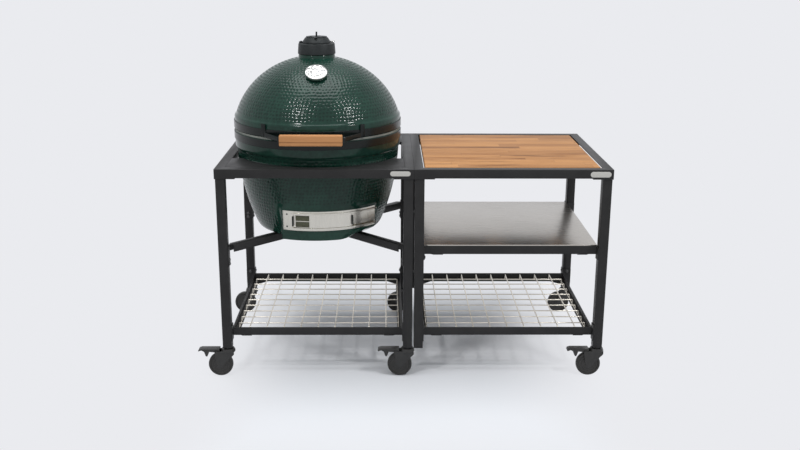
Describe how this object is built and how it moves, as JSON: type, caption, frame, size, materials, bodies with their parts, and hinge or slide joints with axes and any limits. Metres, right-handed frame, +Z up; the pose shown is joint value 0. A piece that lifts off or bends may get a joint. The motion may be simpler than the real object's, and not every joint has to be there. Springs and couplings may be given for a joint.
{
  "type": "kamado grill table",
  "caption": "Rolling steel table in two square modules: a large ceramic kamado grill sunk in the left one, a wood worktop, steel shelf and wire shelf in the right one.",
  "frame": {"origin": "middle of the whole object's footprint box, on the floor", "axes": "+X along the table from the grill to the worktop, -Y the front, +Z up"},
  "size_m": [1.624, 0.803, 1.333],
  "materials": {
    "frame_coat": "charcoal powder coat, fine matte grain",
    "wire_steel": "plain drawn wire, satin",
    "acacia": "oiled acacia staves, satin",
    "brushed_steel": "stainless sheet, fine brushing",
    "glazed_ceramic": "deep green glaze with fine dimples",
    "fire_clay": "bare fired clay, matte",
    "cast_iron": "cast iron, fine matte grain",
    "polished_steel": "bright wound wire",
    "felt": "pale pressed felt",
    "dial_white": "white dial in a steel case",
    "pointer_black": "thin black pointer",
    "clear_glass": "clear flat glass",
    "tyre_rubber": "dark rubber tread",
    "black_nylon": "moulded black nylon"
  },
  "bodies": {
    "table": {"grill_top_frame": "frame_coat", "deck_plate": "frame_coat", "grill_leg_front_left": "frame_coat", "grill_leg_front_right": "frame_coat", "grill_leg_back_left": "frame_coat", "grill_leg_back_right": "frame_coat", "grill_lower_frame": "frame_coat", "grill_wire_shelf": "wire_steel", "cross_brace": "frame_coat", "side_top_frame": "frame_coat", "wood_worktop": "acacia", "side_leg_front_left": "frame_coat", "side_leg_front_right": "frame_coat", "side_leg_back_left": "frame_coat", "side_leg_back_right": "frame_coat", "side_mid_frame": "frame_coat", "steel_shelf": "brushed_steel", "side_lower_frame": "frame_coat", "side_wire_shelf": "wire_steel", "base_shell": "glazed_ceramic", "rim_gasket": "felt", "lower_band": "frame_coat", "hinge_bracket": "frame_coat", "hinge_spring_left": "polished_steel", "hinge_spring_right": "polished_steel", "draft_frame": "brushed_steel", "firebox": "fire_clay", "fire_ring": "fire_clay", "fire_grate": "cast_iron", "cooking_grid": "wire_steel"},
    "dome": {"dome_shell": "glazed_ceramic", "upper_band": "frame_coat", "handle_bracket": "frame_coat", "handle_grip": "acacia", "hinge_arm": "frame_coat", "cap_collar": "cast_iron", "thermometer_case": "dial_white", "thermometer_glass": "clear_glass"},
    "vent_lid": {"cap_lid": "cast_iron", "lid_handle": "polished_steel"},
    "vent_damper": {"cap_damper": "cast_iron"},
    "dial_pointer": {"thermometer_pointer": "pointer_black"},
    "draft_slide": {"draft_door": "brushed_steel"},
    "screen_slide": {"draft_screen": "brushed_steel", "draft_screen_tab": "brushed_steel"},
    "caster_front_left": {"caster_fork_front_left": "black_nylon"},
    "wheel_front_left": {"caster_wheel_front_left": "tyre_rubber"},
    "pedal_front_left": {"brake_pedal_front_left": "black_nylon"},
    "caster_front_middle": {"caster_fork_front_middle": "black_nylon"},
    "wheel_front_middle": {"caster_wheel_front_middle": "tyre_rubber"},
    "pedal_front_middle": {"brake_pedal_front_middle": "black_nylon"},
    "caster_front_right": {"caster_fork_front_right": "black_nylon"},
    "wheel_front_right": {"caster_wheel_front_right": "tyre_rubber"},
    "pedal_front_right": {"brake_pedal_front_right": "black_nylon"},
    "caster_back_left": {"caster_fork_back_left": "black_nylon"},
    "wheel_back_left": {"caster_wheel_back_left": "tyre_rubber"},
    "caster_back_middle": {"caster_fork_back_middle": "black_nylon"},
    "wheel_back_middle": {"caster_wheel_back_middle": "tyre_rubber"},
    "caster_back_right": {"caster_fork_back_right": "black_nylon"},
    "wheel_back_right": {"caster_wheel_back_right": "tyre_rubber"}
  },
  "joints": [
    {"name": "dome_hinge", "type": "hinge", "parent": "table", "child": "dome", "pos_m": [-0.34264, 0.39005, 0.951], "axis": [-1, 0, 0], "range_deg": [0, 75]},
    {"name": "vent_lid_swing", "type": "hinge", "parent": "dome", "child": "vent_lid", "pos_m": [-0.40464, 0.01405, 1.291], "axis": [0, 0, 1], "range_deg": [0, 100]},
    {"name": "vent_damper_turn", "type": "hinge", "parent": "vent_lid", "child": "vent_damper", "pos_m": [-0.34264, 0.01405, 1.3125], "axis": [0, 0, 1], "range_deg": [0, 36]},
    {"name": "dial_pointer_turn", "type": "hinge", "parent": "dome", "child": "dial_pointer", "pos_m": [-0.33192, -0.19038, 1.19427], "axis": [-0.0281, 0.5366, -0.8434], "range_deg": [0, 260], "stiffness_Nm_per_rad": 0.005},
    {"name": "draft_door_slide", "type": "hinge", "parent": "table", "child": "draft_slide", "pos_m": [-0.34264, 0.01405, 0.625], "axis": [0, 0, 1], "range_deg": [-11.4, 20.4]},
    {"name": "draft_screen_slide", "type": "hinge", "parent": "table", "child": "screen_slide", "pos_m": [-0.34264, 0.01405, 0.625], "axis": [0, 0, 1], "range_deg": [0, 11.5]},
    {"name": "caster_swivel_front_left", "type": "hinge", "parent": "table", "child": "caster_front_left", "pos_m": [-0.69304, -0.34435, 0.11], "axis": [0, 0, 1], "continuous": true},
    {"name": "wheel_roll_front_left", "type": "hinge", "parent": "caster_front_left", "child": "wheel_front_left", "pos_m": [-0.72404, -0.34435, 0.04875], "axis": [0, 1, 0], "continuous": true},
    {"name": "brake_press_front_left", "type": "hinge", "parent": "caster_front_left", "child": "pedal_front_left", "pos_m": [-0.73804, -0.34435, 0.1075], "axis": [0, -1, 0], "range_deg": [0, 12]},
    {"name": "caster_swivel_front_middle", "type": "hinge", "parent": "table", "child": "caster_front_middle", "pos_m": [0.02376, -0.34435, 0.11], "axis": [0, 0, 1], "continuous": true},
    {"name": "wheel_roll_front_middle", "type": "hinge", "parent": "caster_front_middle", "child": "wheel_front_middle", "pos_m": [-0.00724, -0.34435, 0.04875], "axis": [0, 1, 0], "continuous": true},
    {"name": "brake_press_front_middle", "type": "hinge", "parent": "caster_front_middle", "child": "pedal_front_middle", "pos_m": [-0.02124, -0.34435, 0.1075], "axis": [0, -1, 0], "range_deg": [0, 12]},
    {"name": "caster_swivel_front_right", "type": "hinge", "parent": "table", "child": "caster_front_right", "pos_m": [0.78376, -0.34435, 0.11], "axis": [0, 0, 1], "continuous": true},
    {"name": "wheel_roll_front_right", "type": "hinge", "parent": "caster_front_right", "child": "wheel_front_right", "pos_m": [0.75276, -0.34435, 0.04875], "axis": [0, 1, 0], "continuous": true},
    {"name": "brake_press_front_right", "type": "hinge", "parent": "caster_front_right", "child": "pedal_front_right", "pos_m": [0.73876, -0.34435, 0.1075], "axis": [0, -1, 0], "range_deg": [0, 12]},
    {"name": "caster_swivel_back_left", "type": "hinge", "parent": "table", "child": "caster_back_left", "pos_m": [-0.69304, 0.37245, 0.11], "axis": [0, 0, 1], "continuous": true},
    {"name": "wheel_roll_back_left", "type": "hinge", "parent": "caster_back_left", "child": "wheel_back_left", "pos_m": [-0.72404, 0.37245, 0.04875], "axis": [0, 1, 0], "continuous": true},
    {"name": "caster_swivel_back_middle", "type": "hinge", "parent": "table", "child": "caster_back_middle", "pos_m": [0.02376, 0.37245, 0.11], "axis": [0, 0, 1], "continuous": true},
    {"name": "wheel_roll_back_middle", "type": "hinge", "parent": "caster_back_middle", "child": "wheel_back_middle", "pos_m": [-0.00724, 0.37245, 0.04875], "axis": [0, 1, 0], "continuous": true},
    {"name": "caster_swivel_back_right", "type": "hinge", "parent": "table", "child": "caster_back_right", "pos_m": [0.78376, 0.37245, 0.11], "axis": [0, 0, 1], "continuous": true},
    {"name": "wheel_roll_back_right", "type": "hinge", "parent": "caster_back_right", "child": "wheel_back_right", "pos_m": [0.75276, 0.37245, 0.04875], "axis": [0, 1, 0], "continuous": true}
  ]
}
